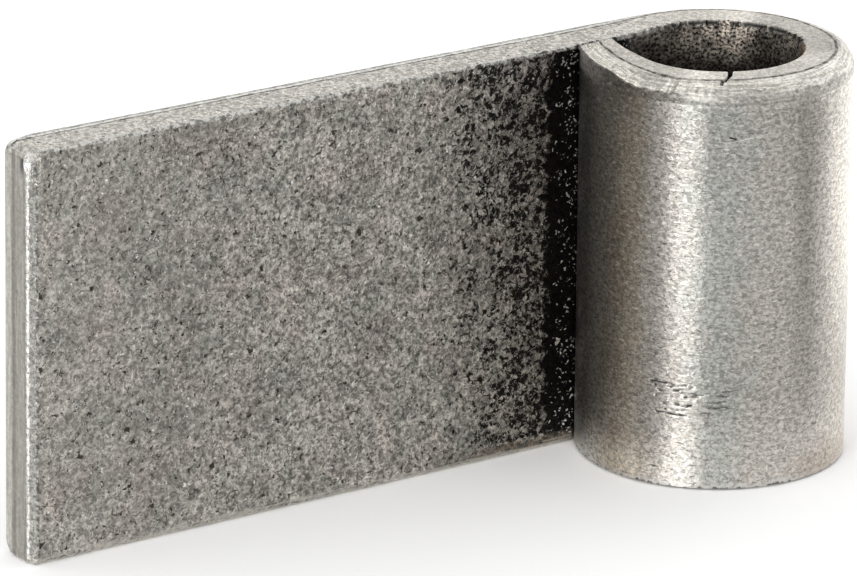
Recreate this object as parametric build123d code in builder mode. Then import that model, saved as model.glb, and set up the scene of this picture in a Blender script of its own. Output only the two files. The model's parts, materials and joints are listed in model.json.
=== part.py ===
"""A rolled-eye weld-on hinge leaf: one flat steel strip with an end rolled into a barrel.

The frame: the bore's axis is Z and the origin is half way along it. The leaf runs out to -X, its
back face (+Y) is tangent to the barrel, and the rolled tip lands on the leaf's front face.
"""

from build123d import *
from math import acos, cos, degrees, sin
import os

# Driving dimensions, in millimetres
strip_width = 40.0  # along the bore
strip_thickness = 5.2  # of the flat leaf
leaf_length = 71.6  # from the bore's axis to the sheared end
bore_diameter = 16.2  # takes a 16 mm pin
roll_thinning = 0.5  # what the strip loses in thickness as it is rolled
tip_lean = 2.0  # how far the tip's outside leans in from the barrel's outside
tip_thinning = 0.9  # what the sheared tip is thinner than the rolled wall
seam_gap = 0.12  # the rolled tip to the leaf's front face
top_rollover = 0.8  # the sheared strip's soft edge along the top, on the outside
bottom_rollover = 0.85  # its soft edge along the bottom, on the inside
end_rollover = 0.7  # the sheared end's soft edge, on the back
end_break = 0.45  # the sheared end's broken edge, on the front

# Worked out from them
rolled_wall = strip_thickness - roll_thinning
bore_radius = bore_diameter / 2
barrel_radius = bore_radius + rolled_wall
leaf_back = barrel_radius
leaf_front = leaf_back - strip_thickness
tip_end = leaf_front - seam_gap
tip_outside = -(barrel_radius - tip_lean)
tip_inside = tip_outside + rolled_wall - tip_thinning
# The bore runs on past its top until it meets the leaf's front face.
bore_overrun = acos(leaf_front / bore_radius)
bore_meets_leaf = (-bore_radius * sin(bore_overrun), bore_radius * cos(bore_overrun))
near = 0.01  # for telling edges apart


def is_outer(edge):
    """True for the edges of the strip's outside: the leaf's back, the barrel and the tip."""
    middle = edge @ 0.5
    on_back = abs(middle.Y - leaf_back) < near
    beyond_wall = Vector(middle.X, middle.Y).length > (bore_radius + barrel_radius) / 2
    below_leaf = middle.Y < tip_end - near
    return on_back or (beyond_wall and below_leaf)


def is_inner(edge):
    """True for the edges of the strip's inside: the leaf's front and the bore."""
    middle = edge @ 0.5
    on_front = abs(middle.Y - leaf_front) < near
    within_wall = Vector(middle.X, middle.Y).length < (bore_radius + barrel_radius) / 2
    off_tip_end = abs(middle.Y - tip_end) > near
    return on_front or (within_wall and off_tip_end)


with BuildPart() as rolled_eye_leaf:
    with BuildSketch(Plane.XY.offset(-strip_width / 2)):
        with BuildLine():
            Line((-leaf_length, leaf_back), (0, leaf_back))
            CenterArc((0, 0), barrel_radius, 90, -270)
            TangentArc((-barrel_radius, 0), (tip_outside, tip_end), tangent=(0, 1))
            Line((tip_outside, tip_end), (tip_inside, tip_end))
            TangentArc((-bore_radius, 0), (tip_inside, tip_end), tangent=(0, 1))
            CenterArc((0, 0), bore_radius, 180, 270 + degrees(bore_overrun))
            Line(bore_meets_leaf, (-leaf_length, leaf_front))
            Line((-leaf_length, leaf_front), (-leaf_length, leaf_back))
        make_face()
    extrude(amount=strip_width)

    top_edges = edges().group_by(Axis.Z)[-1]
    fillet(top_edges.filter_by(is_outer), top_rollover)
    bottom_edges = edges().group_by(Axis.Z)[0]
    fillet(bottom_edges.filter_by(is_inner), bottom_rollover)
    end_edges = edges().filter_by(Axis.Z).group_by(Axis.X)[0].sort_by(Axis.Y)
    chamfer(end_edges[0], end_break)
    end_edges = edges().filter_by(Axis.Z).group_by(Axis.X)[0].sort_by(Axis.Y)
    fillet(end_edges[-1], end_rollover)

os.makedirs("parts", exist_ok=True)
rolled_eye_leaf.part.label = "rolled_eye_leaf"
export_step(rolled_eye_leaf.part, "parts/rolled_eye_leaf.step")
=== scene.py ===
"""The looks of a rolled-eye weld-on hinge leaf: one strip of bare steel, sheared and rolled.

The steel is meshed as what it is, a strip. Each point has strip coordinates in millimetres: s along
the strip from its sheared end, z across it, and d through it, from the inside (the leaf's front
face and the bore) to the outside (the leaf's back face and the barrel). The relief, the colours and
the scale are all laid on in those coordinates, so they follow the metal round the bend.
"""

import json
from math import acos, atan2, cos, exp, hypot, pi, radians, sin, sqrt
from random import Random

import bpy
from mathutils import Matrix, Vector, noise


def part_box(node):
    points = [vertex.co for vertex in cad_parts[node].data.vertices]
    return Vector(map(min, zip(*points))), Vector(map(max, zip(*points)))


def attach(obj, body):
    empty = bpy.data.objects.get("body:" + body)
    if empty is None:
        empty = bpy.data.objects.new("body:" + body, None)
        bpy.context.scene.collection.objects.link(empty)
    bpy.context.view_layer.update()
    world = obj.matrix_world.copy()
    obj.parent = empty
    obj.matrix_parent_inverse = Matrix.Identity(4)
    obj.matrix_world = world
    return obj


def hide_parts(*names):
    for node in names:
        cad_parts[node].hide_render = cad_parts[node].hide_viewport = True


MM = 0.001

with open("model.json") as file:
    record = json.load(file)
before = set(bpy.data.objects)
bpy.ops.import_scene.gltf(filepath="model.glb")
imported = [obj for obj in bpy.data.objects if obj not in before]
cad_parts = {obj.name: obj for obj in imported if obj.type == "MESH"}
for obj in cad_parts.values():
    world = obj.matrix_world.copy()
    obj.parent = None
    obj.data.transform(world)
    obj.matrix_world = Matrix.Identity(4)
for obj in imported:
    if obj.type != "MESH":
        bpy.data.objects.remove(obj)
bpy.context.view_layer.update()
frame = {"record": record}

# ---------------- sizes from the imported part, in mm
NODE = "rolled_eye_leaf"
mounts = {mount["name"]: mount for mount in frame["record"]["mounts"]}
lowest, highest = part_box(NODE)
LEAF_LENGTH = -lowest.x / MM
HALF_WIDTH = highest.z / MM
LOWEST = -HALF_WIDTH  # the strip's lower edge
BARREL_RADIUS = highest.y / MM
BORE_RADIUS = mounts["bore"]["dims"]["r_mm"]
THICKNESS = 2 * (BARREL_RADIUS - mounts["sheared_end"]["pos_m"][1] / MM)
LEAF_FRONT = BARREL_RADIUS - THICKNESS

# The rolled tip, as in the CAD part
SEAM_GAP = 0.12
TIP_LEAN = 2.0
TIP_THINNING = 0.9
TIP_END = LEAF_FRONT - SEAM_GAP
TIP_OUTSIDE = -(BARREL_RADIUS - TIP_LEAN)
TIP_INSIDE = TIP_OUTSIDE + (BARREL_RADIUS - BORE_RADIUS) - TIP_THINNING

# Places along the strip
S_SEAM = LEAF_LENGTH + TIP_OUTSIDE  # where the tip's outside meets the leaf's front face
S_BEND = LEAF_LENGTH  # where the leaf ends and the barrel starts
S_TIP = S_BEND + 1.5 * pi * BARREL_RADIUS  # where the rolled tip starts to straighten
S_END = S_TIP + TIP_END

# The strip's rounded edges: (through the strip, across it)
TOP_INNER = (0.12, 0.12)
BOTTOM_INNER = (0.85, 0.85)
BOTTOM_OUTER = (0.2, 0.25)
TOP_OUTER = (  # this one changes along the strip: (s, through it, across it)
    (0.0, 1.5, 1.1),
    (3.0, 0.45, 0.3),
    (S_BEND - 6, 0.45, 0.3),
    (S_BEND + 8, 0.6, 0.4),
    (S_BEND + 20, 1.2, 0.9),
    (S_BEND + 28, 1.9, 1.5),
    (S_BEND + 44, 2.3, 1.55),
    (S_BEND + 54, 2.4, 1.2),
    (S_BEND + 57.5, 2.2, 1.0),
    (S_BEND + 60.5, 1.2, 0.35),
    (S_END - 1.0, 0.4, 0.1),
)
BEVEL_START = S_BEND + 50.0  # from here to the tip it is a ragged bevel instead
BEVEL_FULL = S_BEND + 54.0
END_BOTTOM_OUTER = (1.4, 1.2)  # the lower outer edge at the sheared end
END_CORNER_LENGTH = 2.6

# The sheared end: it leans, and its front edge is broken with a chip near the top
END_ROLLOVER = 0.7
END_LEAN = 0.35
END_LEAN_LENGTH = 7
END_TOP_CORNER = 0.9
END_BOTTOM_CORNER = 0.6
BREAK = ((0.0, 1.1), (0.2, 0.88), (0.55, 0.0))  # (s, d) across the broken edge
BREAK_LENGTH = BREAK[-1][0]
CHIP_Z = 18.5
CHIP_SIZE = 0.55
CHIP_HALF_HEIGHT = 0.85
END_LINE_D = 2.95  # where the end's smooth zone ends
SCAR_D = 1.75  # a dark scar on the end, beside the chip
SCAR_Z = 18.4

# Shearing leaves a smooth zone, a dark line and a torn zone on the strip's long edges
SHEAR_LINE = (  # (s, the line's d)
    (S_BEND - 7, 3.75),
    (S_BEND + 5, 4.3),
    (S_BEND + 28, 3.3),
    (S_BEND + 43, 2.8),
    (S_BEND + 50, 3.1),
    (S_END, 2.1),
)
SHEAR_GROOVE = 0.07
TOP_SEED = 31.5

# The crack in the rim: it runs out from the bore's edge across the barrel's upper end
CRACK_START = S_BEND + radians(209.3) * BARREL_RADIUS
CRACK_LEAN = 0.08  # along the strip for each mm through it
CRACK_CURVE = 0.085
CRACK_REACH = 3.9
CRACK_HALF_WIDTH = 0.36
CRACK_DEPTH = 0.5

# Tears in the barrel: short grooves along the strip, in one low patch
TEAR_S = (50.0, 54.4)
TEAR_Z = (-13.0, -9.2)
TEAR_ROWS = (-9.5, -9.9, -10.35, -10.9, -11.6, -12.1)
TEAR_SEED = 7
FAINT_TEARS = 10
LONG_TEARS = (  # two that are given one by one
    (S_BEND + 52.4, -12.6, 1.9, 0.06, 0.1, 0.09),
    (S_BEND + 53.6, -9.55, 1.0, 0.06, 0.09, 0.02),
)

# Waves in the relief: (height in mm, period in mm, seed), or the height as a share
SECTION_WAVES = ((0.16, 1.1, 91.5), (0.14, 0.45, 92.5))
FACE_WAVES = ((0.022, 9.0, 0), (0.012, 2.4, 1))
SHEAR_WAVES = ((0.12, 3.0, 0), (0.05, 0.7, 0))
TORN_WAVES = ((0.05, 0.9, 2), (0.03, 0.45, 3))
NOTCH_WAVES = ((0.9, 1.9, 8.1), (0.6, 0.8, 9.4))
BURR_WAVES = ((0.16, 1.1, 6.2), (0.1, 0.4, 7.7))
RIM_WAVES = ((1.0, 1.1, 61.5), (0.8, 0.45, 62.5))
LOW_INNER_WAVES = ((1.0, 1.6, 63.5), (0.6, 0.6, 64.5))
LOW_OUTER_WAVES = ((1.0, 1.2, 66.5), (0.6, 0.5, 67.5))
NOTCH_DEPTH = 0.55
NOTCH_DROP = 0.35
RIM_LOSS = 0.1
LOW_INNER_LOSS = 0.12
LOW_OUTER_LOSS = 0.09
INNER_CRACK_DEPTH = 0.15  # where the crack meets the bore
BREAK_WAVES = ((0.05, 0.9, 71.5), (0.04, 0.35, 72.5))
CHIP_SEED = 73.5
END_SEED = 81.5
OUTSIDE_SEED = 1.5
INSIDE_SEED = 21.5
BOTTOM_SEED = 51.5


def smooth(value, low, high):
    """0 below low, 1 above high, and a smooth step between them."""
    k = min(1.0, max(0.0, (value - low) / (high - low)))
    return k * k * (3 - 2 * k)


def mix(a, b, k):
    return a + (b - a) * k


def ripple(x, y, period, seed):
    """Noise from -1 to 1 over two strip coordinates."""
    return noise.noise(Vector((x / period, y / period, seed)))


def ripples(x, y, waves, seed=0.0):
    """Ripples added up, from rows of (height, period, seed)."""
    return sum(height * ripple(x, y, period, seed + own) for height, period, own in waves)


def rounded(radius, s):
    """How far a round corner of that radius stands back at s from its start."""
    return radius - sqrt(radius**2 - (radius - s) ** 2)


def along(table, s):
    """A table's values at s, with smooth steps between its rows of (s, values)."""
    values = table[0][1:]
    for before, after in zip(table, table[1:]):
        if s > before[0]:
            k = smooth(s, before[0], after[0])
            values = [mix(a, b, k) for a, b in zip(before[1:], after[1:])]
    return values


# ---------------- the strip's line and section


def tangent_arc(start, end, k):
    """A point k of the way along the arc that leaves start along +Y and ends at end."""
    across, up = end[0] - start[0], end[1] - start[1]
    radius = (across * across + up * up) / (2 * across)
    turn = atan2(up, radius - across) * k
    return (start[0] + radius * (1 - cos(turn)), start[1] + radius * sin(turn))


def spaced(start, end, step):
    """Values from start to end, evenly spaced at about step, with start and without end."""
    count = max(1, round(abs(end - start) / step))
    return [start + (end - start) * i / count for i in range(count)]


def strip_point(s):
    """The strip's inside and outside points at s along it."""
    x = s - LEAF_LENGTH
    overrun = acos(LEAF_FRONT / BORE_RADIUS)
    bend_start = -BORE_RADIUS * sin(overrun)
    if x <= bend_start:
        return (x, LEAF_FRONT), (x, BARREL_RADIUS)
    if x <= 0:
        angle = pi / 2 + overrun * x / bend_start
        inside = (BORE_RADIUS * cos(angle), BORE_RADIUS * sin(angle))
        return inside, (x, BARREL_RADIUS)
    if s <= S_TIP:
        angle = pi / 2 - x / BARREL_RADIUS
        ray = (cos(angle), sin(angle))
        inside = (BORE_RADIUS * ray[0], BORE_RADIUS * ray[1])
        return inside, (BARREL_RADIUS * ray[0], BARREL_RADIUS * ray[1])
    k = (s - S_TIP) / TIP_END
    inside = tangent_arc((-BORE_RADIUS, 0), (TIP_INSIDE, TIP_END), k)
    outside = tangent_arc((-BARREL_RADIUS, 0), (TIP_OUTSIDE, TIP_END), k)
    return inside, outside


STATIONS = (  # the strip's sections: (from s, step), closer at its end and over the crack
    (0, 0.05),
    (0.3, 0.14),
    (2.1, 0.52),
    (S_BEND - 6, 0.43),
    (CRACK_START - 1, 0.14),
    (CRACK_START + 3.2, 0.15),
    (S_BEND + 54.8, 0.4),
    (S_END, 0),
)


def station_places():
    places = []
    for (start, step), (end, _) in zip(STATIONS, STATIONS[1:]):
        places += spaced(start, end, step)
    return places + [S_END]


def quarter(at_d, at_z, size_d, size_z, sign_d, sign_z, from_face, bevel=0.0):
    """A rounded or bevelled corner of the section, as (d, z, outward d, outward z) rows."""
    rows = []
    for i in range(CORNER_STEPS + 1):
        share = i / CORNER_STEPS if from_face else 1 - i / CORNER_STEPS
        turn = pi / 2 * share
        off_d = size_d * mix(1 - cos(turn), share, bevel)
        off_z = size_z * mix(1 - sin(turn), 1 - share, bevel)
        place = (at_d - sign_d * off_d, at_z - sign_z * off_z)
        rows.append((*place, sign_d * cos(turn), sign_z * sin(turn)))
    return rows


def straight(start, end, places):
    """Rows between two corners, at those shares of the way."""
    nd, nz = (start[2] + end[2]) / 2, (start[3] + end[3]) / 2
    size = hypot(nd, nz)
    return [(mix(start[0], end[0], k), mix(start[1], end[1], k), nd / size, nz / size) for k in places]


# Rows of points round a section
CORNER_STEPS = 6
FACE_ROWS = 88
EDGE_ROWS = 15
FINE_STEP = 0.12  # over the tears
OUTSIDE_TOP = 0.95  # the outside's rows are spaced as if from this far below the top


def face_places(low, high, *fine):
    """Shares of the way from low to high across a face, with closer rows over a fine part."""
    step = 2 * HALF_WIDTH / FACE_ROWS
    stops = (low, *fine, high)
    values = []
    for i in range(len(stops) - 1):
        values += spaced(stops[i], stops[i + 1], FINE_STEP if i == 1 else step)
    return [(value - low) / (high - low) for value in values[1:]]


def section(s):
    """The strip's outline at s, once round from the lower end of its inside face."""
    top_d, top_z = along(TOP_OUTER, s)
    bevel = smooth(s, BEVEL_START, BEVEL_FULL)
    top_z *= 1 + ripples(s, 0, SECTION_WAVES)
    end_share = 1 - smooth(s, 0, END_CORNER_LENGTH)
    low_d = mix(BOTTOM_OUTER[0], END_BOTTOM_OUTER[0], end_share)
    low_z = mix(BOTTOM_OUTER[1], END_BOTTOM_OUTER[1], end_share)
    low, high = LOWEST, HALF_WIDTH
    inner_low = quarter(0, low, *BOTTOM_INNER, -1, -1, False)
    inner_high = quarter(0, high, *TOP_INNER, -1, 1, True)
    outer_high = quarter(THICKNESS, high, top_d, top_z, 1, 1, False, bevel)
    outer_low = quarter(THICKNESS, low, low_d, low_z, 1, -1, True)
    edge = [i / EDGE_ROWS for i in range(1, EDGE_ROWS)]
    inside = face_places(low + BOTTOM_INNER[1], high - TOP_INNER[1])
    outside_top, outside_low = high - OUTSIDE_TOP, low + BOTTOM_OUTER[1]
    outside = face_places(outside_top, outside_low, TEAR_Z[1] + 0.3, TEAR_Z[0] - 0.3)
    rows = inner_low + straight(inner_low[-1], inner_high[0], inside)
    rows += inner_high + straight(inner_high[-1], outer_high[0], edge)
    rows += outer_high + straight(outer_high[-1], outer_low[0], outside)
    return rows + outer_low + straight(outer_low[-1], inner_low[0], edge)


# ---------------- relief, in mm


def make_tears():
    """The tears, each with its middle's s and z, half length, half height, depth and slope."""
    draw = Random(TEAR_SEED)
    tears = list(LONG_TEARS)
    for row in TEAR_ROWS:
        s = S_BEND + TEAR_S[0] + draw.uniform(0.0, 1.2)
        while s < S_BEND + TEAR_S[1]:
            half_length = draw.uniform(0.1, 0.4)
            s += half_length
            z = row + draw.uniform(-0.17, 0.17)
            deep = draw.uniform(0.05, 0.12)
            tears.append((s, z, half_length, draw.uniform(0.04, 0.11), deep, draw.uniform(-0.25, 0.25)))
            s += half_length + draw.uniform(0.1, 1.5)
    for _ in range(FAINT_TEARS):
        s = S_BEND + draw.uniform(46.8, 50.5)
        z = draw.uniform(-12.4, -10.0)
        tears.append((s, z, draw.uniform(0.3, 0.9), 0.06, 0.07, draw.uniform(-0.15, 0.15)))
    return tears


TEARS = make_tears()


def tear_at(s, z):
    """How torn the barrel is at a point, from 0 to 1, and how deep that is."""
    torn, depth = 0.0, 0.0
    if not TEAR_Z[0] - 0.5 < z < TEAR_Z[1] + 0.5:
        return torn, depth
    for at_s, at_z, half_length, half_height, deep, slope in TEARS:
        along = (s - at_s) / half_length
        if abs(along) >= 1:
            continue
        wander = 0.06 * ripple(s, at_z, 0.5, 3.3)
        off = abs(z - at_z - slope * (s - at_s) - wander) / (half_height * sqrt(1 - along * along) + 0.02)
        share = 1 - smooth(off, 0.5, 1.3)
        if share * deep > depth:
            torn, depth = share * min(1.0, deep / 0.1), share * deep
    return torn, depth


def crack_at(s, d):
    """How open the rim's crack is at a point of the rim, from 0 to 1."""
    if not 0 <= d < CRACK_REACH:
        return 0.0
    middle = CRACK_START + CRACK_LEAN * d + CRACK_CURVE * d * d
    half_width = CRACK_HALF_WIDTH * (1 - d / CRACK_REACH) ** 0.6
    return 1 - smooth(abs(s - middle), half_width * 0.55, half_width + 0.08)


def face_relief(s, z, seed, bent):
    """Rolled waviness of a face. It is never above 0, so the faces stay in the CAD part's."""
    height = ripples(s, z, FACE_WAVES, seed) + 0.006 * ripple(s / 5.0, z / 0.9, 1.0, seed + 2) * bent
    return min(0.0, height - 0.03)


def shear_line(s, seed):
    """The d at which a long edge's smooth zone ends."""
    return along(SHEAR_LINE, s)[0] + ripples(s, 0, SHEAR_WAVES, seed)


def edge_relief(s, d, seed):
    """The sheared long edges: smooth near the inside, a groove, then torn and slightly lower."""
    line = shear_line(s, seed)
    groove = SHEAR_GROOVE * exp(-(((d - line) / 0.16) ** 2)) * (0.7 + 0.6 * ripple(s, 0, 1.3, seed + 4))
    torn = smooth(d, line, line + 0.5)
    rough = ripples(s, d, TORN_WAVES, seed)
    slope = 0.1 * smooth(d, line, THICKNESS)
    calm = 0.008 * ripple(s, d, 1.5, seed + 5)
    return min(0.0, -0.01 - groove + calm - torn * (0.04 + slope + rough))


def bore_notch(s):
    """Scalloped loss of the bore's upper edge, on the bore's far side."""
    far = smooth(s, S_BEND - 5, S_BEND - 2) * (1 - smooth(s, S_BEND + 22, S_BEND + 26))
    return far * smooth(0.5 + ripples(s, 0, NOTCH_WAVES), 0.3, 0.75)


def front_burr(s):
    """Loss of the leaf's front upper edge between the bits of burr that still stand."""
    leaf = 1 - smooth(s, S_BEND - 12, S_BEND - 10)
    return leaf * max(0.0, 0.12 + ripples(s, 0, BURR_WAVES))


def corner_relief(s, z, nd, nz):
    """Roughness of the strip's rounded edges, by which way a point faces."""
    if nz > 0.3 and nd > 0.3:
        bent = smooth(s, S_BEND - 8, S_BEND + 6)
        return -RIM_LOSS * (1 + ripples(s, z, RIM_WAVES)) * bent * nd * nz
    if nz < -0.3 and nd < -0.3:
        return -LOW_INNER_LOSS * (1 + ripples(s, z, LOW_INNER_WAVES)) * nd * nz
    if nz < -0.3 and nd > 0.3:
        return LOW_OUTER_LOSS * (1 + ripples(s, z, LOW_OUTER_WAVES)) * nd * nz
    return 0.0


def shaped(s, d, z, nd, nz):
    """A section point after relief, with how dark its scar is."""
    bent = smooth(s, S_BEND - 8, S_BEND + 6)
    out, inn = max(0.0, nd) ** 2, max(0.0, -nd) ** 2
    top, low = max(0.0, nz) ** 2, max(0.0, -nz) ** 2
    scar = 0.0
    drop = 0.0
    if out:
        torn, depth = tear_at(s, z)
        scar = torn * out
        drop += out * (face_relief(s, z, OUTSIDE_SEED, bent) - depth)
    if inn:
        drop += inn * face_relief(s, z, INSIDE_SEED, 0.0)
    if top:
        crack = crack_at(s, d)
        drop += top * (edge_relief(s, d, TOP_SEED) - crack * CRACK_DEPTH)
    if low:
        drop += low * edge_relief(s, d, BOTTOM_SEED)
    drop += corner_relief(s, z, nd, nz)
    d, z = d + drop * nd, z + drop * nz
    if z > HALF_WIDTH - 0.6:
        near_top = smooth(z, HALF_WIDTH - 0.6, HALF_WIDTH)
        near_face = 1 - smooth(d, 0.0, 0.6)
        notch = bore_notch(s) * near_face * near_top
        d += NOTCH_DEPTH * notch
        z -= NOTCH_DROP * notch + near_face * near_top * front_burr(s)
        scar = max(scar, 0.9 * smooth(notch, 0.25, 0.6))
    if d < 0.3 and z > HALF_WIDTH - 1.5:
        crack = crack_at(s, 0.0) * smooth(z, HALF_WIDTH - 1.5, HALF_WIDTH)
        d += crack * INNER_CRACK_DEPTH
    return d, z, scar


def end_break(s, z):
    """The d at which the front face starts, over the sheared end's broken front edge."""
    chip = CHIP_SIZE * exp(-(((z - CHIP_Z) / CHIP_HALF_HEIGHT) ** 4))
    chip *= 1 + 0.3 * ripple(s, z, 0.5, CHIP_SEED)
    wander = ripples(z, 0, BREAK_WAVES)
    s = s * BREAK_LENGTH / (BREAK_LENGTH + chip + wander)
    for (low_s, high_d), (high_s, low_d) in zip(BREAK, BREAK[1:]):
        if s < high_s:
            return mix(high_d, low_d, (s - low_s) / (high_s - low_s)) * (1 + 0.7 * chip + wander)
    return 0.0


def end_shaped(s, d, z):
    """The section near the sheared end: its broken edges and rounded corners."""
    if s < END_TOP_CORNER and z > 0:
        z -= rounded(END_TOP_CORNER, s) * z / HALF_WIDTH
    if s < END_BOTTOM_CORNER and z < 0:
        z += rounded(END_BOTTOM_CORNER, s) * (-z / HALF_WIDTH) * mix(0.55, 1.0, d / THICKNESS)
    low_d = end_break(s, z)
    high_d = THICKNESS
    if s < END_ROLLOVER:
        high_d -= rounded(END_ROLLOVER, s)
    if low_d or high_d < THICKNESS:
        d = low_d + d / THICKNESS * (high_d - low_d)
    return d, z


def end_relief(d, z):
    """The sheared end's face, mm inward: a smooth zone by the back, a groove and a torn zone."""
    line = END_LINE_D + 0.15 * ripple(z, 0, 6.0, END_SEED)
    groove = 0.06 * exp(-(((d - line) / 0.22) ** 2))
    torn = 1 - smooth(d, line - 0.6, line)
    streaks = 0.012 * ripple(d, z / 5, 0.8, END_SEED + 2)
    return 0.02 + groove + torn * (0.03 + 0.02 * ripple(d, z, 1.1, END_SEED + 1)) + streaks


# ---------------- the mesh


def place_point(inside, outside, s, d, z, inward=0.0):
    """A strip point in the frame, in metres, with the sheared end's lean."""
    k = d / THICKNESS
    lean = END_LEAN * (z + HALF_WIDTH) / (2 * HALF_WIDTH) * (1 - smooth(s, 0, END_LEAN_LENGTH))
    x = mix(inside[0], outside[0], k) + lean + inward
    y = mix(inside[1], outside[1], k)
    return (x * MM, y * MM, z * MM)


CAP_RINGS = (0.86, 0.72, 0.58, 0.44, 0.3, 0.16)  # shares of the sheared end's outline
SHARP_ANGLE = radians(38)


def section_points(s):
    """The mesh's points at s, each with its strip coordinates, grain direction and three marks."""
    inside, outside = strip_point(s)
    wall = Vector((outside[0] - inside[0], outside[1] - inside[1], 0)).normalized()
    line = shear_line(s, TOP_SEED)
    points = []
    for d, z, nd, nz in section(s):
        d, z, scar = shaped(s, d, z, nd, nz)
        d, z = end_shaped(s, d, z)
        place = place_point(inside, outside, s, d, z, end_relief(d, z) if s == 0 else 0.0)
        across = tuple(wall * -nz + Vector((0, 0, nd)))
        broken = float(nd < -0.5 and s < BREAK_LENGTH + 0.1)
        points.append((place, (s, z, d), across, scar, d - line, broken))
    return points


def cap_points(rim, share):
    """One ring of the sheared end's face: the rim's points, drawn in to that share."""
    inside, outside = strip_point(0)
    points = []
    for _, (_, z, d), *_ in rim:
        d = mix(THICKNESS / 2 + 0.05, d, share)
        z = z * (1 - (1 - share) * THICKNESS / 2 / HALF_WIDTH)
        place = place_point(inside, outside, 0, d, z, end_relief(d, z))
        scar = 0.9 * exp(-(((d - SCAR_D) / 0.4) ** 2) - ((z - SCAR_Z) / 0.9) ** 4)
        points.append((place, (0.0, z, d), (0.0, 0.0, 1.0), scar, 0.0, 0.0))
    return points


def strip_mesh():
    """The whole strip as one closed mesh, with each point's coordinates and marks as attributes."""
    rings = [section_points(s) for s in station_places()]
    ring = len(rings[0])
    points = [point for points_at_s in rings for point in points_at_s]
    faces = []
    for i in range(len(rings) - 1):
        for j in range(ring):
            a = i * ring + j
            b = i * ring + (j + 1) % ring
            faces.append((a, b, b + ring, a + ring))
    last = (len(rings) - 1) * ring
    faces.append(tuple(range(last, last + ring)))
    before = 0
    for share in CAP_RINGS:
        start = len(points)
        points += cap_points(rings[0], share)
        for j in range(ring):
            k = (j + 1) % ring
            faces.append((before + k, before + j, start + j, start + k))
        before = start
    faces.append(tuple(reversed(range(before, before + ring))))
    verts, coordinates, acrosses, scars, past_line, broken = zip(*points)
    mesh = bpy.data.meshes.new("rolled_strip")
    mesh.from_pydata(verts, [], faces)
    for name, rows in (("strip", coordinates), ("across", acrosses)):
        attribute = mesh.attributes.new(name, "FLOAT_VECTOR", "POINT")
        attribute.data.foreach_set("vector", [c for row in rows for c in row])
    for name, values in (("scar", scars), ("past_line", past_line), ("broken", broken)):
        mesh.attributes.new(name, "FLOAT", "POINT").data.foreach_set("value", values)
    mesh.shade_smooth()
    mesh.set_sharp_from_angle(angle=SHARP_ANGLE)
    mesh.update()
    return mesh


def add_object(name, data):
    thing = bpy.data.objects.new(name, data)
    bpy.context.scene.collection.objects.link(thing)
    return thing


def add_strip():
    piece = add_object("rolled_strip", strip_mesh())
    piece.data.materials.append(steel())
    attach(piece, "root")
    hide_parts(NODE)


# ---------------- the steel


class Nodes:
    """Short calls that build the nodes of a material or world. A value is a number or a socket."""

    def __init__(self, owner):
        self.tree = owner.node_tree

    def plug(self, value, socket):
        if isinstance(value, bpy.types.NodeSocket):
            self.tree.links.new(value, socket)
        else:
            socket.default_value = value

    def add(self, kind, inputs, output=0, **settings):
        node = self.tree.nodes.new(kind)
        for name, value in settings.items():
            setattr(node, name, value)
        for name, value in inputs.items():
            self.plug(value, node.inputs[name])
        return node.outputs[output]

    def math(self, operation, *values):
        return self.add("ShaderNodeMath", dict(enumerate(values)), operation=operation)

    def times(self, *values):
        result = values[0]
        for value in values[1:]:
            result = self.math("MULTIPLY", result, value)
        return result

    def plus(self, a, b):
        return self.math("ADD", a, b)

    def either(self, a, b):
        return self.math("MAXIMUM", a, b)

    def minus(self, a, b):
        return self.math("SUBTRACT", a, b)

    def invert(self, a):
        return self.minus(1.0, a)

    def away(self, value, middle):
        """How far a value is from middle."""
        return self.math("ABSOLUTE", self.plus(value, -middle))

    def part(self, vector, index):
        return self.add("ShaderNodeSeparateXYZ", {0: vector}, index)

    def ramp(self, value, low, high, start=0.0, end=1.0):
        """A smooth step: start below low, end above high."""
        inputs = {"Value": value, "From Min": low, "From Max": high, "To Min": start, "To Max": end}
        return self.add("ShaderNodeMapRange", inputs, interpolation_type="SMOOTHSTEP")

    def stretch(self, vector, *by):
        return self.add("ShaderNodeVectorMath", {0: vector, 1: by}, operation="MULTIPLY")

    def shift(self, vector, *by):
        return self.add("ShaderNodeVectorMath", {0: vector, 1: by}, operation="ADD")

    def noise(self, vector, scale, detail=2.0, roughness=0.5, distortion=0.0):
        names = ("Vector", "Scale", "Detail", "Roughness", "Distortion")
        values = (vector, scale, detail, roughness, distortion)
        return self.add("ShaderNodeTexNoise", dict(zip(names, values)))

    def cells(self, vector, scale, output):
        return self.add("ShaderNodeTexVoronoi", {"Vector": vector, "Scale": scale}, output)

    def colour(self, share, a, b):
        inputs = {0: share, 6: a, 7: b}
        return self.add("ShaderNodeMix", inputs, 2, data_type="RGBA")

    def shade(self, colour, factor):
        colour = colour[:3] if isinstance(colour, tuple) else colour
        return self.add("ShaderNodeVectorMath", {0: colour, "Scale": factor}, operation="SCALE")

    def spots(self, vector, scale, share, small, large, softness=0.35):
        """Scattered round spots: that share of the cells has one, of a radius in mm."""
        distance = self.cells(vector, scale, "Distance")
        draw = self.add("ShaderNodeSeparateColor", {"Color": self.cells(vector, scale, "Color")})
        kept = self.math("LESS_THAN", draw, share)
        other = self.tree.nodes[draw.node.name].outputs[1]
        radius = self.ramp(other, 0.0, 1.0, small * scale, large * scale)
        edge = self.times(radius, 1 - softness)
        return self.times(kept, self.ramp(distance, radius, edge))

    def worms(self, vector, scale, width, gate_low, gate_high):
        """Short winding lines: a noise's middle contour, kept in some places."""
        off = self.away(self.noise(vector, scale, 1.0), 0.5)
        gate = self.noise(self.shift(vector, 31.0, 17.0, 5.0), scale * 0.9, 1.0)
        return self.times(self.ramp(off, width, width * 0.35), self.ramp(gate, gate_low, gate_high))


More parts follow.
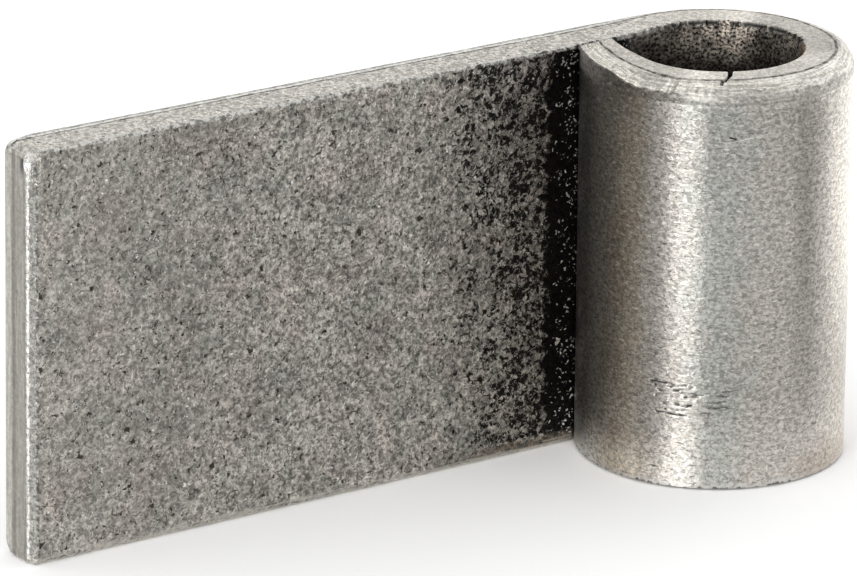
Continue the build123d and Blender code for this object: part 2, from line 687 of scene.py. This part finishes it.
class Surface(Nodes):
    """The steel's nodes: the strip's coordinates, its zones, and the noises that its parts share."""

    def __init__(self, material):
        super().__init__(material)
        self.strip = self.attribute("strip", "Vector")
        self.across = self.attribute("across", "Vector")
        self.scar = self.attribute("scar", "Fac")
        self.past_line = self.attribute("past_line", "Fac")
        self.broken = self.attribute("broken", "Fac")
        self.s, self.z, self.d = (self.part(self.strip, i) for i in range(3))
        self.mark_zones()
        self.add_noises()
        self.add_pits()

    def attribute(self, name, output):
        return self.add("ShaderNodeAttribute", {}, output, attribute_name=name)

    def mark_zones(self):
        """Each zone is 1 in its own part of the strip and 0 elsewhere."""
        s, z, d = self.s, self.z, self.d
        inside = self.ramp(d, 0.35, 0.15)
        self.bent = self.ramp(s, S_BEND - 7, S_BEND + 5)
        raised = self.plus(z, self.times(self.bent, 1.4))
        near_top = self.ramp(raised, HALF_WIDTH - 0.75, HALF_WIDTH - 0.4)
        near_bottom = self.ramp(z, LOWEST + 0.5, LOWEST + 0.2)
        self.top_zone = self.times(near_top, self.ramp(d, 0.05, 0.2))
        self.bottom_zone = self.times(near_bottom, self.ramp(d, 0.15, 0.4))
        self.outer_rim = self.ramp(d, THICKNESS - 0.3, THICKNESS - 0.16)
        self.end_zone = self.ramp(s, 0.12, 0.02)
        self.bore_zone = self.times(inside, self.ramp(s, S_BEND - 5.5, S_BEND - 3.5))
        self.leaf_front = self.times(inside, self.ramp(s, S_BEND - 3.5, S_BEND - 5.5))
        self.barrel_face = self.times(self.bent, self.invert(inside))
        self.leaf_face = self.invert(self.either(self.barrel_face, self.bore_zone))
        self.torn = self.ramp(self.past_line, 0.0, 0.35)

    def add_noises(self):
        """A noise looks square on its own grid's planes, so the first are moved off the leaf's face."""
        strip = self.strip
        off_grid = self.shift(strip, 0.31, 0.17, 0.23)
        self.wobble = self.noise(off_grid, 1.1, 2.0)
        self.grain = self.noise(off_grid, 2.4, 3.0, 0.6, 0.4)
        self.fine = self.noise(self.shift(strip, 9.31, 4.17, 2.23), 5.5, 2.0, 0.6)
        self.mottle = self.noise(strip, 0.13, 3.0, 0.55)
        self.barrel_grain = self.noise(self.stretch(strip, 0.85, 1.0, 1.0), 2.7, 2.0, 0.55, 0.8)
        self.scratch = self.noise(self.stretch(strip, 0.12, 4.0, 1.0), 1.0, 3.0, 0.6)
        self.light_worms = self.worms(self.shift(strip, 3.0, 8.0, 1.0), 1.7, 0.045, 0.54, 0.62)

    def add_pits(self):
        """Small pits, fewer on the barrel, and light flecks, all a little out of round."""
        wander = self.add("ShaderNodeTexNoise", {"Vector": self.strip, "Scale": 1.6}, "Color")
        inputs = {0: wander, 1: (1.1, 1.1, 1.1), 2: self.strip}
        bent_strip = self.add("ShaderNodeVectorMath", inputs, "Vector", operation="MULTIPLY_ADD")
        fewer = self.ramp(self.bent, 0.0, 1.0, 1.0, -0.04)
        share = self.times(self.ramp(self.mottle, 0.35, 0.65, 0.16, 0.5), fewer)
        self.pits = self.spots(bent_strip, 0.75, share, 0.14, 0.36)
        self.small_pits = self.spots(self.shift(bent_strip, 7.0, 3.0, 0.0), 1.6, share, 0.08, 0.2)
        self.flecks = self.spots(self.shift(bent_strip, 2.0, 6.0, 0.0), 1.5, 0.52, 0.06, 0.18, 0.6)
        self.bent_strip = bent_strip

    def mark(self, at_s, at_z, half_length, half_height, slope):
        """One thin mark on the barrel, running along the strip."""
        s = self.plus(self.s, -at_s)
        z = self.plus(self.z, -at_z)
        off = self.math("ABSOLUTE", self.minus(z, self.times(s, slope)))
        along_it = self.ramp(self.math("ABSOLUTE", s), half_length, half_length * 0.6)
        return self.times(along_it, self.ramp(off, half_height, half_height * 0.3))


# Colours
LEAF_WARM = (0.306, 0.28, 0.256, 1)
LEAF_COOL = (0.28, 0.275, 0.249, 1)
FLECK = (0.93, 0.91, 0.86, 1)
BARREL_WARM = (0.36, 0.338, 0.31, 1)
BARREL_COOL = (0.337, 0.339, 0.317, 1)
BARREL_STRAW = (0.37, 0.343, 0.302, 1)
# partly a brown tint, partly painted shade, for the barrel's dark side
BARREL_BROWN_SHADE = (0.27, 0.24, 0.196, 1)
BARREL_FLAKE = (0.66, 0.64, 0.6, 1)
NICK_DARK = (0.1, 0.095, 0.085, 1)
RUBBED = (0.7, 0.68, 0.64, 1)
FOOT_RUST = (0.3, 0.22, 0.16, 1)
EDGE_SMOOTH = (0.64, 0.612, 0.562, 1)
RIM_SMOOTH = (0.73, 0.702, 0.65, 1)
EDGE_TORN = (0.56, 0.545, 0.495, 1)
RIM_TORN = (0.62, 0.597, 0.552, 1)
# the rim's lip: partly its own pale metal, partly painted light
MERGING = (0.72, 0.7, 0.655, 1)
END_FACE = (0.4, 0.388, 0.35, 1)
BREAK_FACE = (0.46, 0.45, 0.42, 1)
# bright broken metal, also painted as highlights on burrs and on the end's broken edge
BRIGHT_METAL_AND_GLINT = (0.7, 0.69, 0.66, 1)
BORE = (0.2, 0.178, 0.153, 1)
BORE_RUST = (0.2, 0.12, 0.065, 1)
SCALE_BLACK = (0.004, 0.0035, 0.004, 1)
SCALE_BROWN = (0.014, 0.012, 0.01, 1)
PIT_BROWN = (0.035, 0.028, 0.022, 1)
RUST = (0.165, 0.12, 0.085, 1)
SPECK_WHITE = (0.93, 0.93, 0.9, 1)
EDGE_NICK = (0.1, 0.092, 0.08, 1)
GROOVE_DARK = (0.07, 0.065, 0.055, 1)
CRACK_BLACK = (0.006, 0.005, 0.005, 1)

# Places round the barrel, by s
PALE_STREAK = S_BEND + 37.8
COOL_STREAK = S_BEND + 48.0
BRIGHT_BAND = S_BEND + 50.6
DARK_SIDE = S_BEND + 53.0

BUMP_HEIGHT = 0.09  # mm


def leaf_colour(n):
    """Dense light and dark grain, with winding dark marks, and painted light that makes the leaf lighter
    toward its sheared end and its lower edge.
    """
    strip, s, z = n.strip, n.s, n.z
    tone = n.noise(n.shift(strip, 50.0, 20.0, 0.0), 0.2, 1.0)
    leaf = n.colour(n.ramp(tone, 0.3, 0.7), LEAF_COOL, LEAF_WARM)
    leaf_grain_and_light = n.times(
        n.ramp(n.grain, 0.3, 0.7, 0.4, 1.6),
        n.ramp(n.fine, 0.3, 0.7, 0.72, 1.3),
        n.ramp(n.wobble, 0.3, 0.7, 0.78, 1.22),
        n.ramp(n.mottle, 0.35, 0.65, 0.86, 1.13),
        # painted light: lighter toward the sheared end, a little lighter from the middle on, and lighter
        # toward the lower edge
        n.ramp(s, 1.0, 14.0, 1.27, 1.0),
        n.ramp(s, 14.0, 36.0, 1.0, 1.08),
        n.ramp(z, -19.0, -8.0, 1.15, 1.0),
    )
    calm = n.ramp(s, 6.0, 32.0, 0.3, 0.0)
    leaf = n.shade(leaf, n.plus(n.times(leaf_grain_and_light, n.invert(calm)), calm))
    dark_worms = n.worms(n.shift(strip, 13.0, 28.0, 4.0), 1.3, 0.03, 0.53, 0.6)
    return n.colour(n.times(dark_worms, 0.8), leaf, PIT_BROWN)


def barrel_base(n):
    """A burnished skin with finer marks drawn out along the strip, with painted light: lighter low down
    and toward the tip, darker high up.
    """
    strip, s, z = n.strip, n.s, n.z
    barrel_fine = n.noise(n.shift(strip, 3.0, 1.0, 0.0), 7.0, 2.0, 0.6)
    wander = n.times(n.noise(strip, 0.25, 2.0), 8.0)
    barrel_tone = n.plus(wander, n.away(s, COOL_STREAK))
    barrel = n.colour(n.ramp(barrel_tone, 4.5, 8.5), BARREL_COOL, BARREL_WARM)
    # a patchy brown tint on the barrel's dark side near the tip: partly brown on the steel, partly
    # painted shade where the barrel reflects the dark scale band
    brown_and_shade = n.times(
        n.ramp(s, S_BEND + 53.2, S_BEND + 57.2),
        n.ramp(s, S_BEND + 62.5, S_BEND + 58.5),
        n.ramp(n.noise(n.stretch(strip, 1.0, 0.45, 1.0), 0.6, 3.0, 0.6), 0.3, 0.6, 0.45, 1.0),
    )
    barrel = n.colour(n.times(brown_and_shade, 0.85), barrel, BARREL_BROWN_SHADE)
    barrel = n.colour(n.ramp(s, S_BEND + 37.0, S_BEND + 33.0), barrel, BARREL_STRAW)
    barrel_grain_and_light = n.times(
        n.ramp(n.barrel_grain, 0.3, 0.7, 0.64, 1.34),
        n.ramp(barrel_fine, 0.3, 0.7, 0.88, 1.12),
        n.ramp(n.scratch, 0.35, 0.65, 0.95, 1.05),
        # painted reflection of the floor: lighter toward the lower edge
        n.ramp(z, -19.0, -10.0, 1.42, 1.0),
        # painted shade: a little darker toward the top
        n.ramp(z, 8.0, 16.0, 1.0, 0.94),
        n.ramp(n.away(s, PALE_STREAK), 1.0, 3.0, 1.07, 1.0),
        # painted shade: the bright band is dimmed toward the top
        n.ramp(n.away(s, BRIGHT_BAND), 1.2, 2.8, n.ramp(z, 5.0, 14.0, 0.97, 0.87), 1.0),
        # painted light: lighter toward the rolled tip
        n.ramp(s, S_BEND + 60.0, S_END - 1.0, 1.0, 1.7),
        # painted reflection of the floor: lighter low on the dark side
        n.plus(n.times(n.ramp(z, -19.5, -14.0, 0.7, 0.0), n.ramp(s, S_BEND + 51.0, S_BEND + 56.0)), 1.0),
    )
    return n.shade(barrel, barrel_grain_and_light)


def with_flakes(n, barrel):
    """Pale flakes and dark nicks, and a darker patch high on the side away from the light."""
    strip, s, z = n.strip, n.s, n.z
    from_left = n.away(s, DARK_SIDE)
    flakes = n.noise(n.stretch(n.shift(strip, 5.0, 2.0, 7.0), 0.42, 0.9, 0.0), 3.6, 2.0, 0.6, 0.3)
    flake_level = n.plus(n.ramp(n.wobble, 0.4, 0.6, 0.4, 0.8), n.ramp(from_left, 1.0, 3.0, 0.2, 0.0))
    barrel = n.colour(n.times(n.ramp(flakes, 0.57, 0.68), flake_level), barrel, BARREL_FLAKE)
    nicks = n.noise(n.stretch(n.shift(strip, 25.0, 12.0, 7.0), 0.5, 1.2, 0.0), 3.1, 2.0, 0.6, 0.3)
    barrel_nicks = n.ramp(nicks, 0.575, 0.68)
    nick_level = n.ramp(from_left, 1.0, 5.0, 0.85, 0.55)
    barrel = n.colour(n.times(barrel_nicks, nick_level), barrel, NICK_DARK)
    dark_top = n.times(n.ramp(z, 13.5, 18.5), n.ramp(s, S_BEND + 55.5, S_BEND + 59.0), -0.4)
    return n.shade(barrel, n.plus(dark_top, 1.0))


def with_lip(n, barrel):
    """Rubbed streaks, one scratch and a nick near the top, and the lip that merges with the rim,
    lightened with painted light.
    """
    strip, s, z = n.strip, n.s, n.z
    rubbed = n.times(n.noise(n.stretch(strip, 0.12, 2.5, 0.0), 1.0, 3.0, 0.6), n.ramp(z, 16.8, 18.4))
    rubbed = n.times(rubbed, n.ramp(s, S_BEND + 54.0, S_BEND + 51.0))
    barrel = n.colour(n.ramp(rubbed, 0.5, 0.62, 0.0, 0.6), barrel, RUBBED)
    barrel = n.colour(n.times(n.mark(S_BEND + 45.6, 14.8, 2.8, 0.07, -0.19), 0.45), barrel, BRIGHT_METAL_AND_GLINT)
    barrel = n.colour(n.mark(S_BEND + 47.0, 14.9, 0.45, 0.14, 0.25), barrel, PIT_BROWN)
    # the lip's pale colour is partly the torn rollover's own metal, partly painted light that hides the
    # darker shading of its rounding
    merging = n.times(
        n.ramp(z, 17.4, 19.1),
        n.ramp(s, S_BEND + 53.5, S_BEND + 50.0),
        n.ramp(n.grain, 0.35, 0.6, 0.5, 1.0),
    )
    merging_level = n.times(
        n.ramp(n.barrel_grain, 0.3, 0.7, 0.7, 1.25),
        n.ramp(n.scratch, 0.35, 0.65, 0.85, 1.15),
    )
    return n.colour(merging, barrel, n.shade(MERGING, merging_level))


def with_foot(n, barrel):
    """The barrel's ragged lower edge, with a little rust over it."""
    strip, s, z = n.strip, n.s, n.z
    wander = n.plus(n.noise(n.stretch(strip, 1.0, 0.4, 0.0), 1.6, 3.0, 0.65), -0.5)
    ragged = n.plus(z, n.times(wander, 1.6))
    barrel = n.colour(n.ramp(ragged, LOWEST + 0.75, LOWEST + 0.45, 0.0, 0.6), barrel, BRIGHT_METAL_AND_GLINT)
    barrel = n.colour(n.ramp(ragged, LOWEST + 0.3, LOWEST + 0.1, 0.0, 0.85), barrel, PIT_BROWN)
    foot_rust = n.times(n.ramp(ragged, LOWEST + 4.5, LOWEST + 0.5), n.ramp(s, S_BEND + 42, S_BEND + 36))
    return n.colour(n.times(foot_rust, 0.4), barrel, FOOT_RUST)


def with_scale(n, face):
    """Black scale on the leaf, thicker toward the barrel, painted shade toward the barrel, and the bright
    marks that show on it.
    """
    strip, s, z, leaf_front = n.strip, n.s, n.z, n.leaf_front
    clusters = n.noise(n.shift(strip, 11.0, 6.0, 0.0), 0.5, 2.0, 0.5)
    patchy = n.plus(n.noise(strip, 1.7, 5.0, 0.72, 0.6), n.times(n.plus(clusters, -0.5), 0.4))
    wander = n.plus(n.noise(n.stretch(strip, 0.0, 0.3, 0.0), 1.0, 4.0, 0.6), -0.5)
    to_seam = n.minus(n.plus(s, n.times(wander, 3.0)), S_SEAM)
    more_above = n.ramp(z, 4.0, 18.0, 0.0, 2.5)
    threshold = n.ramp(n.plus(to_seam, more_above), -22.0, -4.6, 0.3, 0.5)
    spotted = n.ramp(n.minus(patchy, threshold), 0.045, -0.02)
    black_band = n.ramp(n.plus(to_seam, n.times(n.plus(patchy, -0.5), -5.0)), -4.3, -3.4)
    scale_mask = n.times(leaf_front, n.either(spotted, black_band), n.ramp(z, -19.3, -18.3, 0.45, 1.0))
    inside_band = n.times(leaf_front, black_band)
    # darker toward the seam: partly scale stain, partly painted shade from the barrel beside the leaf
    stain_and_shade = n.ramp(to_seam, -27.0, -5.0, 1.0, 0.82)
    face = n.shade(face, n.plus(n.times(leaf_front, n.plus(stain_and_shade, -1.0)), 1.0))
    scale = n.colour(n.either(black_band, n.ramp(n.wobble, 0.45, 0.6)), SCALE_BROWN, SCALE_BLACK)
    face = n.colour(n.times(scale_mask, 0.97), face, scale)
    bright_marks = n.either(n.times(n.light_worms, 0.5), n.flecks)
    bright_marks = n.times(bright_marks, n.invert(inside_band), n.ramp(n.fine, 0.35, 0.6, 0.3, 0.9))
    face = n.colour(n.times(bright_marks, n.leaf_face), face, n.shade(FLECK, stain_and_shade))
    from_seam = n.plus(s, -S_SEAM)
    specks = n.spots(n.bent_strip, 2.6, n.ramp(from_seam, -3.4, -0.3, 0.08, 0.85), 0.06, 0.19, 0.5)
    specks = n.times(specks, leaf_front, n.ramp(from_seam, -4.6, -3.2))
    face = n.colour(n.times(specks, n.ramp(n.fine, 0.35, 0.6, 0.5, 1.0)), face, SPECK_WHITE)
    rust = n.times(
        leaf_front,
        n.ramp(z, -18.2, -19.2),
        n.ramp(from_seam, -16.0, -7.0),
        n.ramp(n.wobble, 0.35, 0.55),
    )
    face = n.colour(n.times(rust, 0.75), face, n.shade(RUST, n.ramp(n.grain, 0.3, 0.7, 0.6, 1.5)))
    return face, scale_mask


def with_bore(n, face):
    """The bore: dark streaks along the strip, with rust on the far side, painted shade deep inside and a
    painted highlight on the back wall.
    """
    strip, s, z = n.strip, n.s, n.z
    drawn = n.stretch(strip, 0.63, 1.0, 1.0)
    bore_streaks_and_light = n.times(
        n.ramp(n.noise(drawn, 3.7, 3.0, 0.6), 0.36, 0.64, 0.05, 2.0),
        n.ramp(n.noise(drawn, 0.8, 2.0), 0.35, 0.65, 0.6, 1.4),
        # painted shade: darker deep in the bore than near its ends
        n.ramp(n.math("ABSOLUTE", z), 14.3, 20.0, 0.08, 1.5),
        # painted highlight across the back wall, with painted shade toward the leaf
        n.ramp(s, S_BEND - 4, S_BEND + 8, 0.35, 1.6),
        n.ramp(s, S_BEND + 8, S_BEND + 18, 1.0, 0.55),
    )
    rusty = n.times(
        n.ramp(s, S_BEND + 20, S_BEND + 25),
        n.ramp(s, S_BEND + 38, S_BEND + 33),
        n.ramp(n.mottle, 0.4, 0.55),
    )
    bore = n.colour(n.times(rusty, 0.8), BORE, BORE_RUST)
    return n.colour(n.bore_zone, face, n.shade(bore, bore_streaks_and_light))


def edge_colour(n):
    """The sheared long edges: a smooth zone near the inside and a torn one outside it, with painted light
    on the rim's torn zone away from the front.
    """
    strip, s, bent, torn = n.strip, n.s, n.bent, n.torn
    streaks = n.noise(n.stretch(strip, 0.2, 1.0, 2.8), 1.6, 3.0, 0.6)
    edge_level = n.times(n.ramp(n.grain, 0.3, 0.7, 0.55, 1.34), n.ramp(n.fine, 0.3, 0.7, 0.7, 1.24))
    burnished = n.times(bent, n.ramp(torn, 0.0, 1.0, 0.42, 0.5))
    edge_level = n.plus(n.times(edge_level, n.invert(burnished)), burnished)
    torn_streaks_and_light = n.times(
        n.ramp(streaks, 0.3, 0.7, n.ramp(bent, 0.0, 1.0, 0.6, 0.74), 1.3),
        # painted light: the rim's torn zone is lighter toward the tip and over the rim away from the
        # front
        n.ramp(s, S_BEND + 50, S_BEND + 56, 1.0, 1.3),
        n.ramp(s, S_BEND + 43, S_BEND + 48, n.ramp(s, S_BEND, S_BEND + 10, 1.0, 1.4), 1.0),
    )
    torn_colour = n.shade(n.colour(bent, EDGE_TORN, RIM_TORN), torn_streaks_and_light)
    smooth_colour = n.colour(bent, EDGE_SMOOTH, RIM_SMOOTH)
    return n.shade(n.colour(torn, smooth_colour, torn_colour), edge_level)


def with_edge_marks(n, edge):
    """Nicks, the dark line between the zones, a bright ridge, pits and the bore's ragged fringe."""
    strip, s, d, bent, past_line = n.strip, n.s, n.d, n.bent, n.past_line
    groove = n.ramp(n.math("ABSOLUTE", past_line), 0.26, 0.08)
    edge_nicks = n.worms(n.stretch(n.shift(strip, 4.0, 0.0, 9.0), 0.45, 1.0, 1.5), 1.7, 0.04, 0.5, 0.58)
    edge_nicks = n.times(edge_nicks, n.ramp(past_line, -2.2, -0.6, 0.1, 1.0))
    edge = n.colour(n.times(edge_nicks, n.ramp(bent, 0.0, 1.0, 0.6, 0.42)), edge, EDGE_NICK)
    edge = n.colour(n.times(groove, n.ramp(n.wobble, 0.4, 0.6, 0.5, 0.95)), edge, GROOVE_DARK)
    ridge = n.times(n.ramp(n.away(past_line, 0.42), 0.34, 0.12), n.invert(bent))
    edge = n.colour(n.times(ridge, n.ramp(n.grain, 0.35, 0.5, 0.25, 0.8)), edge, SPECK_WHITE)
    edge = n.colour(n.times(n.small_pits, 0.75), edge, PIT_BROWN)
    fringe_noise = n.noise(n.stretch(strip, 1.0, 0.0, 0.0), 1.4, 3.0, 0.7)
    fringe = n.ramp(n.minus(n.ramp(fringe_noise, 0.4, 0.62, 0.0, 0.62), d), 0.0, 0.08)
    fringe = n.times(fringe, n.ramp(s, S_BEND - 4, S_BEND - 2), n.ramp(s, S_BEND + 26, S_BEND + 23))
    return n.colour(n.times(fringe, 0.9), edge, PIT_BROWN)


def with_long_edges(n, face, edge):
    """The long edges on the steel, the burrs along them with painted highlights, and the lines low on the
    leaf, partly painted reflection.
    """
    strip, s, z, d, bent, top_zone = n.strip, n.s, n.z, n.d, n.bent, n.top_zone
    long_edges = n.times(n.either(top_zone, n.bottom_zone), n.invert(n.times(n.outer_rim, bent)))
    face = n.colour(long_edges, face, edge)
    burr = n.times(n.ramp(z, HALF_WIDTH - 0.5, HALF_WIDTH - 0.3), n.ramp(d, 0.4, 0.25), n.invert(bent))
    end_burr = n.times(top_zone, n.ramp(s, 0.4, 0.25))
    # partly the burrs' own bright metal, partly a painted highlight along them
    burr_glints = n.times(n.either(burr, end_burr), n.ramp(n.grain, 0.42, 0.58, 0.1, 0.95))
    face = n.colour(burr_glints, face, BRIGHT_METAL_AND_GLINT)
    # lighter lines on the rounded lower edge: partly its own lengthwise streaks, partly a painted
    # reflection of the floor
    low_band = n.times(n.ramp(z, LOWEST + 1.1, LOWEST + 0.7), n.leaf_face, n.ramp(d, 1.6, 1.0))
    low_lines = n.noise(n.stretch(strip, 0.15, 3.2, 0.0), 1.0, 3.0, 0.6)
    return n.colour(n.times(low_band, n.ramp(low_lines, 0.42, 0.55, 0.0, 0.6)), face, EDGE_TORN)


def with_end(n, face):
    """The sheared end's face."""
    strip, d = n.strip, n.d
    end_line = n.ramp(n.away(d, 3.3), 0.4, 0.05)
    end_line = n.either(end_line, n.times(n.ramp(d, 1.75, 1.25), 0.8))
    end_streaks = n.noise(n.stretch(strip, 1.0, 0.2, 3.0), 1.0, 4.0, 0.65)
    end_level = n.times(
        n.ramp(end_streaks, 0.3, 0.7, 0.8, 1.2),
        n.ramp(n.grain, 0.3, 0.7, 0.86, 1.12),
        n.ramp(d, 3.5, 3.9, 1.0, 1.34),
    )
    end = n.colour(n.times(end_line, 0.32), n.shade(END_FACE, end_level), PIT_BROWN)
    return n.colour(n.end_zone, face, end)


def with_broken_edge(n, face):
    """The sheared end's broken front edge, with its chip and a painted highlight along the edge."""
    s, z, d, broken = n.s, n.z, n.d, n.broken
    break_level = n.times(n.ramp(n.grain, 0.3, 0.65, 0.6, 1.3), n.ramp(n.fine, 0.3, 0.65, 0.7, 1.25))
    face = n.colour(broken, face, n.shade(BREAK_FACE, break_level))
    # partly the edge's own bright metal, partly a painted highlight along it
    bright = n.times(n.ramp(s, 0.26, 0.16), n.ramp(n.grain, 0.4, 0.58, 0.15, 0.85))
    in_chip = n.times(n.ramp(z, CHIP_Z - 0.9, CHIP_Z - 0.6), n.ramp(n.grain, 0.35, 0.5, 0.3, 0.9))
    face = n.colour(n.times(broken, n.either(bright, in_chip)), face, BRIGHT_METAL_AND_GLINT)
    past_break = n.times(n.ramp(s, 0.78, 0.62), n.ramp(s, 0.42, 0.55), n.leaf_face, n.ramp(d, 0.3, 0.15))
    return n.colour(n.times(past_break, n.ramp(n.grain, 0.4, 0.6, 0.55, 0.05)), face, PIT_BROWN)


def with_crack(n, face):
    """The crack in the rim, and the other dark scars."""
    s, z, d = n.s, n.z, n.d
    crack_lean = n.plus(n.times(d, CRACK_CURVE), CRACK_LEAN)
    off_crack = n.math("ABSOLUTE", n.minus(n.plus(s, -CRACK_START), n.times(d, crack_lean)))
    open_width = n.ramp(d, 0.0, CRACK_REACH, CRACK_HALF_WIDTH, 0.12)
    crack = n.ramp(n.minus(off_crack, open_width), 0.04, -0.06)
    near_rim = n.ramp(z, HALF_WIDTH - 2.0, HALF_WIDTH - 1.6)
    crack = n.times(crack, near_rim, n.ramp(d, CRACK_REACH, CRACK_REACH - 0.2))
    return n.colour(n.times(n.either(n.scar, crack), 0.97), face, CRACK_BLACK)


def relief(n):
    """The bump: strong grain on the leaf, faint grain and scratches on the barrel."""
    bent, grain, fine = n.bent, n.grain, n.fine
    rough_rim = n.times(n.torn, n.top_zone, 0.14)
    share = n.either(n.ramp(bent, 0.0, 1.0, 1.0, 0.1), rough_rim)
    height = n.times(n.plus(grain, n.times(fine, 0.4)), share)
    height = n.plus(height, n.times(n.barrel_grain, n.times(bent, 0.2)))
    height = n.plus(height, n.times(n.either(n.pits, n.small_pits), -0.9))
    height = n.plus(height, n.times(n.either(n.light_worms, n.flecks), n.ramp(bent, 0.0, 1.0, 0.3, 0.0)))
    height = n.plus(height, n.times(n.scratch, n.times(bent, 0.12)))
    inputs = {"Height": height, "Distance": BUMP_HEIGHT * MM, "Strength": 1.0}
    return n.add("ShaderNodeBump", inputs, "Normal")


def gloss(n, scale_mask):
    """The roughness: the burnished barrel is the glossiest."""
    s, bent = n.s, n.bent
    rough = n.plus(n.ramp(bent, 0.0, 1.0, 0.46, 0.36), n.times(scale_mask, 0.15))
    rough = n.plus(rough, n.times(n.bore_zone, 0.22))
    rough = n.plus(rough, n.times(n.ramp(s, S_BEND + 55, S_BEND + 59), 0.2))
    return n.plus(rough, n.times(n.top_zone, n.times(bent, 0.34)))


def steel():
    material = bpy.data.materials.new("steel")
    material.use_nodes = True
    n = Surface(material)
    barrel = with_foot(n, with_lip(n, with_flakes(n, barrel_base(n))))
    face = n.colour(n.barrel_face, leaf_colour(n), barrel)
    face = n.colour(n.times(n.either(n.pits, n.small_pits), 0.93), face, PIT_BROWN)
    face, scale_mask = with_scale(n, face)
    face = with_bore(n, face)
    face = with_long_edges(n, face, with_edge_marks(n, edge_colour(n)))
    face = with_crack(n, with_broken_edge(n, with_end(n, face)))
    shader = material.node_tree.nodes["Principled BSDF"]
    n.plug(face, shader.inputs["Base Color"])
    n.plug(gloss(n, scale_mask), shader.inputs["Roughness"])
    n.plug(relief(n), shader.inputs["Normal"])
    n.plug(n.across, shader.inputs["Tangent"])
    n.plug(1, shader.inputs["Metallic"])
    n.plug(0.85, shader.inputs["Anisotropic"])
    return material


# ---------------- camera: its angle, place and lens
VIEW_AZIMUTH = radians(-34.7)
VIEW_ELEVATION = radians(19.0)
VIEW_ROLL = radians(0.48)
VIEW_DISTANCE = 669.8
VIEW_TARGET = (-33.08, 0.0, 2.08)
IMAGE_WIDTH = 857
FOCAL_PIXELS = 7232.0
SENSOR = 36.0


def add_camera():
    level = cos(VIEW_ELEVATION)
    back = Vector((sin(VIEW_AZIMUTH) * level, -cos(VIEW_AZIMUTH) * level, sin(VIEW_ELEVATION)))
    right = Vector((cos(VIEW_AZIMUTH), sin(VIEW_AZIMUTH), 0))
    up = back.cross(right)
    turned_right = right * cos(VIEW_ROLL) + up * sin(VIEW_ROLL)
    turned_up = up * cos(VIEW_ROLL) - right * sin(VIEW_ROLL)
    place = (Vector(VIEW_TARGET) + back * VIEW_DISTANCE) * MM
    camera_data = bpy.data.cameras.new("camera")
    camera = add_object("camera", camera_data)
    turn = Matrix((turned_right, turned_up, back)).transposed().to_4x4()
    camera.matrix_world = Matrix.Translation(place) @ turn
    camera_data.sensor_width = SENSOR
    camera_data.lens = FOCAL_PIXELS * SENSOR / IMAGE_WIDTH
    camera_data.clip_start = 0.01
    bpy.context.scene.camera = camera


# ---------------- stage, in metres and degrees
FLOOR_REACH = 4.0
FLOOR_GREY = 0.95
FILL_LEVEL = 1.1
LAMPS = (  # name, azimuth, distance, height, size, radiance, whether it lights the floor
    ("band_lamp", -61.5, 0.6, 0.1, (0.25, 0.26), 8.8, True),
    ("rim_lamp", 102, 0.6, 0.14, (0.36, 0.34), 1.5, True),
    ("edge_lamp", 90, 0.05, 0, (0.052, 0.036), 1.0, False),
)
CARDS = (  # name, azimuth, width, height, distance, grey
    ("left_card", -98, 0.3, 0.6, 0.45, 0.05),
    ("right_card", 35.5, 0.014, 0.036, 0.0405, 0.62),
)


def matt_material(name, grey):
    material = bpy.data.materials.new(name)
    material.use_nodes = True
    shader = material.node_tree.nodes["Principled BSDF"]
    shader.inputs["Base Color"].default_value = (grey, grey, grey, 1)
    shader.inputs["Roughness"].default_value = 1
    shader.inputs["Specular IOR Level"].default_value = 0
    return material


def around(azimuth, distance, height):
    """A point at that azimuth round the barrel, in degrees: 0 is in front of the leaf."""
    turn = radians(azimuth)
    return Vector((sin(turn) * distance, -cos(turn) * distance, height))


def facing(place, target):
    """A matrix at place whose -Z points to target, with Y upward."""
    return Matrix.Translation(place) @ (target - place).to_track_quat("-Z", "Y").to_matrix().to_4x4()


def add_rectangle(name, w, h, z, grey):
    """A flat sheet that reaches w and h each way from its middle."""
    mesh = bpy.data.meshes.new(name)
    mesh.from_pydata([(-w, -h, z), (w, -h, z), (w, h, z), (-w, h, z)], [], [(0, 1, 2, 3)])
    mesh.materials.append(matt_material(name, grey))
    return add_object(name, mesh)


def add_floor():
    floor = add_rectangle("floor", FLOOR_REACH, FLOOR_REACH, LOWEST * MM, FLOOR_GREY)


def add_card(name, azimuth, width, height, distance, grey):
    """A dark card that only reflections show, as a photographer flags a shiny part."""
    card = add_rectangle(name, width / 2, height / 2, 0, grey)
    middle = height / 2 + LOWEST * MM
    card.matrix_world = facing(around(azimuth, distance, middle), Vector((0, 0, middle)))
    card.visible_camera = False
    card.visible_shadow = False
    card.visible_diffuse = False


def add_lamp(name, azimuth, distance, height, size, radiance, lights_floor):
    """A soft rectangular lamp that faces the bore's middle, and whose own face has that radiance."""
    lamp_data = bpy.data.lights.new(name, "AREA")
    lamp_data.shape = "RECTANGLE"
    lamp_data.size, lamp_data.size_y = size
    lamp_data.energy = radiance * pi * size[0] * size[1]
    lamp = add_object(name, lamp_data)
    lamp.matrix_world = facing(around(azimuth, distance, height), Vector((0, 0, 0)))
    lamp.visible_camera = False
    lamp.visible_diffuse = lights_floor


def add_world():
    """White to the camera and in reflections, and a little dimmer as a light."""
    world = bpy.data.worlds.new("world")
    bpy.context.scene.world = world
    world.use_nodes = True
    n = Nodes(world)
    background = n.tree.nodes["Background"]
    background.inputs["Color"].default_value = (1, 1, 1, 1)
    rays = n.tree.nodes.new("ShaderNodeLightPath").outputs
    seen = n.either(rays["Is Camera Ray"], rays["Is Glossy Ray"])
    shown = n.either(seen, rays["Is Transmission Ray"])
    level = n.add("ShaderNodeMapRange", {"Value": shown, "To Min": FILL_LEVEL}, "Result")
    n.plug(level, background.inputs["Strength"])


def add_stage():
    add_world()
    add_floor()
    for lamp in LAMPS:
        add_lamp(*lamp)
    for card in CARDS:
        add_card(*card)
    bpy.context.scene.view_settings.view_transform = "Standard"


add_strip()
add_camera()
add_stage()
